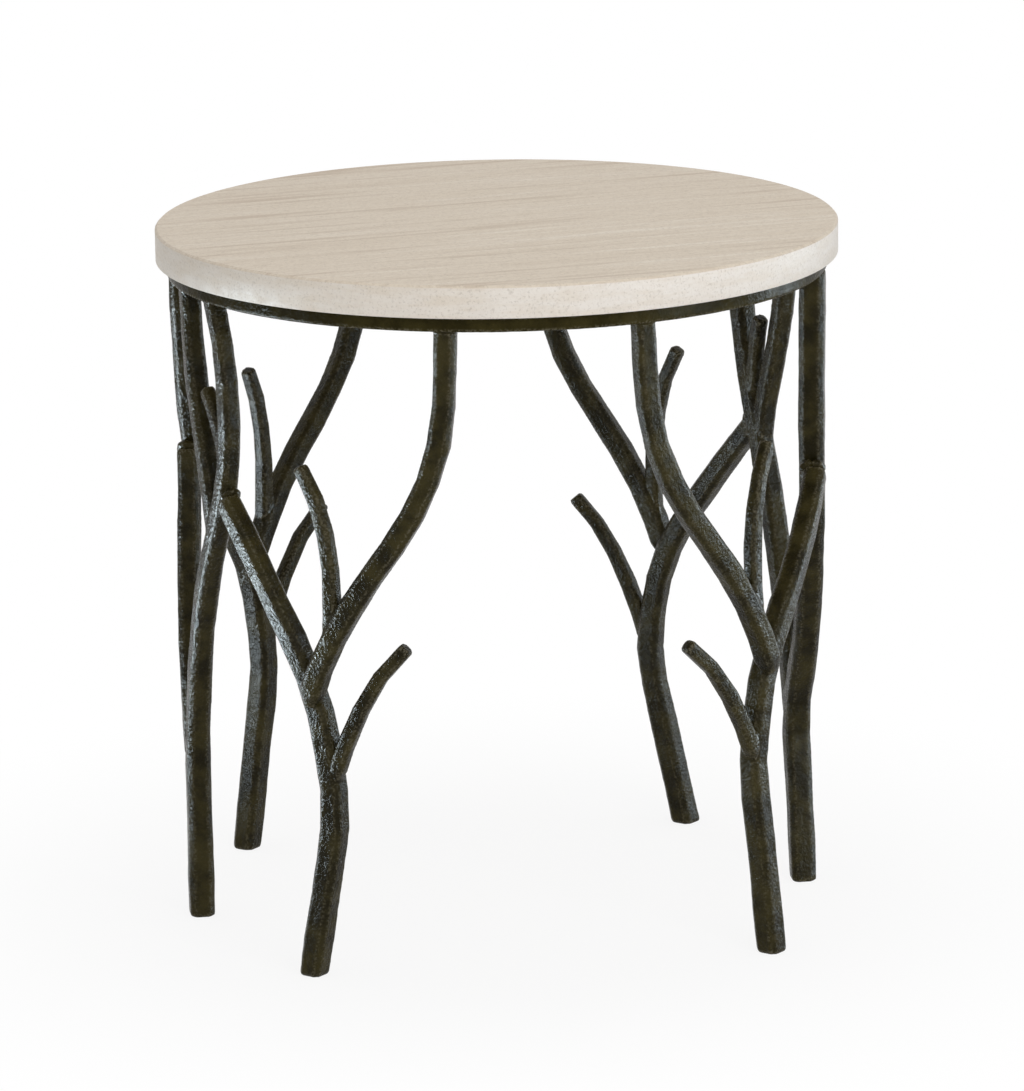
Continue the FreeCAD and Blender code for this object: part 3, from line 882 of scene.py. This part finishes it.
class TABLE_OT_run_welds(bpy.types.Operator):
    """Run welds round the bars' joints"""
    bl_idname = "end_table.run_welds"
    bl_label = "Run welds"

    def execute(self, context):
        look = context.scene.end_table_iron
        material = iron_material("weld_iron", look, dents=160.0, grain=600.0, grain_share=0.5,
                                 relief=0.0005, gloss=0.085)
        skins = {}
        for tree_name in CORNER_TREES:
            weld_piece(tree_name, CORNER_BARS, CORNER_WELDS, look, material, skins)
        for tree_name in MIDDLE_TREES:
            weld_piece(tree_name, MIDDLE_BARS, MIDDLE_WELDS, look, material, skins)
        return {"FINISHED"}


class TABLE_OT_dress_fastenings(bpy.types.Operator):
    """Finish the screws and inserts that hold the slab"""
    bl_idname = "end_table.dress_fastenings"
    bl_label = "Dress fastenings"

    def execute(self, context):
        dress("tab_screws", plain_metal("zinc_steel", (0.55, 0.55, 0.53), roughness=0.35))
        dress("screw_inserts", plain_metal("turned_brass", (0.62, 0.45, 0.2), roughness=0.3))
        return {"FINISHED"}


def seen_rays(tree):
    """One for rays that show the background itself: from the camera, in reflections and through glass."""
    path = put(tree, "ShaderNodeLightPath").outputs
    seen = maths(tree, "MAXIMUM", path["Is Camera Ray"], path["Is Glossy Ray"])
    return maths(tree, "MAXIMUM", seen, path["Is Transmission Ray"])


def floor_material():
    """White floor that stays white to the camera and keeps a faint shadow."""
    material, tree, _ = new_material("white_floor")
    tree.nodes.clear()
    place = put(tree, "ShaderNodeTexCoord").outputs["Object"]
    reach = put(tree, "ShaderNodeVectorMath", {0: place}, operation="LENGTH").outputs["Value"]
    white_share = spread(tree, reach, SHADOW_FADE, (SHADOW_WHITE_SHARE, 1.0))
    matt = put(tree, "ShaderNodeBsdfDiffuse", {"Color": (FLOOR_GREY, FLOOR_GREY, FLOOR_GREY, 1.0)})
    glow = put(tree, "ShaderNodeEmission", {"Color": WHITE, "Strength": 1.0})
    share = maths(tree, "MULTIPLY", seen_rays(tree), white_share)
    mix = put(tree, "ShaderNodeMixShader", {0: share, 1: matt.outputs[0], 2: glow.outputs[0]})
    put(tree, "ShaderNodeOutputMaterial", {"Surface": mix.outputs[0]})
    return material


def white_world(air):
    """Even light from all round, and white to the camera and in reflections."""
    world = bpy.data.worlds.new("White studio")
    bpy.context.scene.world = world
    world.use_nodes = True
    tree = world.node_tree
    tree.nodes.clear()
    light = put(tree, "ShaderNodeBackground", {"Color": WHITE, "Strength": air})
    white = put(tree, "ShaderNodeBackground", {"Color": WHITE, "Strength": 1.0})
    mix = put(tree, "ShaderNodeMixShader", {0: seen_rays(tree), 1: light.outputs[0], 2: white.outputs[0]})
    put(tree, "ShaderNodeOutputWorld", {"Surface": mix.outputs[0]})


def floor_piece(side):
    """Square floor under the table."""
    half = side / 2.0
    corners = [(-half, -half, 0.0), (half, -half, 0.0), (half, half, 0.0), (-half, half, 0.0)]
    mesh = bpy.data.meshes.new("floor")
    mesh.from_pydata(corners, [], [(0, 1, 2, 3)])
    mesh.materials.append(floor_material())
    floor = bpy.data.objects.new("floor", mesh)
    bpy.context.scene.collection.objects.link(floor)


def softbox(name, setting, power):
    """Rectangular lamp that looks at a point."""
    place, aim, width, height = setting
    lamp = bpy.data.lights.new(name, "AREA")
    lamp.shape = "RECTANGLE"
    lamp.size = width
    lamp.size_y = height
    lamp.energy = power
    holder = bpy.data.objects.new(name, lamp)
    holder.location = place
    holder.rotation_euler = (Vector(aim) - Vector(place)).to_track_quat("-Z", "Y").to_euler()
    bpy.context.scene.collection.objects.link(holder)
    return holder


def gloss_card(name, setting, power, tint):
    """Lamp that shows only in glossy surfaces."""
    card = softbox(name, setting, power)
    card.data.color = tint
    card.visible_diffuse = False
    card.visible_camera = False


def photo_camera():
    """Camera where the photograph was taken from."""
    right = Vector((math.cos(CAMERA_YAW), math.sin(CAMERA_YAW), 0.0))
    ahead = Vector((-math.sin(CAMERA_YAW), math.cos(CAMERA_YAW), 0.0))
    above = Vector((0.0, 0.0, 1.0))
    forward = ahead * math.cos(CAMERA_PITCH) - above * math.sin(CAMERA_PITCH)
    upward = above * math.cos(CAMERA_PITCH) + ahead * math.sin(CAMERA_PITCH)
    side = right * math.cos(CAMERA_ROLL) + upward * math.sin(CAMERA_ROLL)
    lift = upward * math.cos(CAMERA_ROLL) - right * math.sin(CAMERA_ROLL)
    axes = Matrix((side, lift, -forward)).transposed().to_4x4()
    lens = bpy.data.cameras.new("Photo camera")
    lens.sensor_width = SENSOR
    lens.lens = CAMERA_LENS_PIXELS * SENSOR / PHOTO_HEIGHT_PIXELS
    lens.clip_end = FAR_CLIP
    camera = bpy.data.objects.new("Photo camera", lens)
    bpy.context.scene.collection.objects.link(camera)
    camera.matrix_world = Matrix.Rotation(CAMERA_TURN, 4, "Z") @ Matrix.Translation(CAMERA_PLACE) @ axes
    bpy.context.scene.camera = camera


class TABLE_OT_set_stage(bpy.types.Operator):
    """Set the floor, lamps and camera"""
    bl_idname = "end_table.set_stage"
    bl_label = "Set stage"

    def execute(self, context):
        look = context.scene.end_table_stage
        floor_piece(look.floor_size)
        white_world(look.air)
        softbox("Front lamp", FRONT_LAMP, look.front_power)
        softbox("Top lamp", TOP_LAMP, look.top_power)
        gloss_card("Left card", LEFT_CARD, look.left_power, look.tint)
        gloss_card("Right card", RIGHT_CARD, look.right_power, look.tint)
        gloss_card("Far card", FAR_CARD, look.right_power, look.tint)
        photo_camera()
        context.scene.view_settings.view_transform = "Standard"
        return {"FINISHED"}


class TABLE_PT_sidebar(bpy.types.Panel):
    """End table in the 3D view's sidebar"""
    bl_label = "End table"
    bl_idname = "TABLE_PT_sidebar"
    bl_space_type = "VIEW_3D"
    bl_region_type = "UI"
    bl_category = "End Table"

    def draw(self, context):
        for name, steps in (
                ("end_table_stone", (TABLE_OT_dress_slab, TABLE_OT_dress_fastenings)),
                ("end_table_iron", (TABLE_OT_forge_bars, TABLE_OT_dress_ring, TABLE_OT_run_welds)),
                ("end_table_stage", (TABLE_OT_set_stage,))):
            look = getattr(context.scene, name)
            box = self.layout.box()
            for key in look.__annotations__:
                box.prop(look, key)
            for step in steps:
                box.operator(step.bl_idname)


CLASSES = (IronLook, StoneLook, StageLook, TABLE_OT_dress_slab, TABLE_OT_forge_bars, TABLE_OT_dress_ring,
           TABLE_OT_run_welds, TABLE_OT_dress_fastenings, TABLE_OT_set_stage, TABLE_PT_sidebar)


def register():
    """Makes the settings, steps and panel known to Blender."""
    for kind in CLASSES:
        bpy.utils.register_class(kind)
    bpy.types.Scene.end_table_iron = bpy.props.PointerProperty(type=IronLook)
    bpy.types.Scene.end_table_stone = bpy.props.PointerProperty(type=StoneLook)
    bpy.types.Scene.end_table_stage = bpy.props.PointerProperty(type=StageLook)


def unregister():
    """Takes them away again."""
    del bpy.types.Scene.end_table_stage
    del bpy.types.Scene.end_table_stone
    del bpy.types.Scene.end_table_iron
    for kind in reversed(CLASSES):
        bpy.utils.unregister_class(kind)


def main():
    """Runs every step in order."""
    register()
    bpy.ops.end_table.set_stage()
    bpy.ops.end_table.dress_slab()
    bpy.ops.end_table.forge_bars()
    bpy.ops.end_table.dress_ring()
    bpy.ops.end_table.run_welds()
    bpy.ops.end_table.dress_fastenings()


if __name__ == "__main__":
    main()
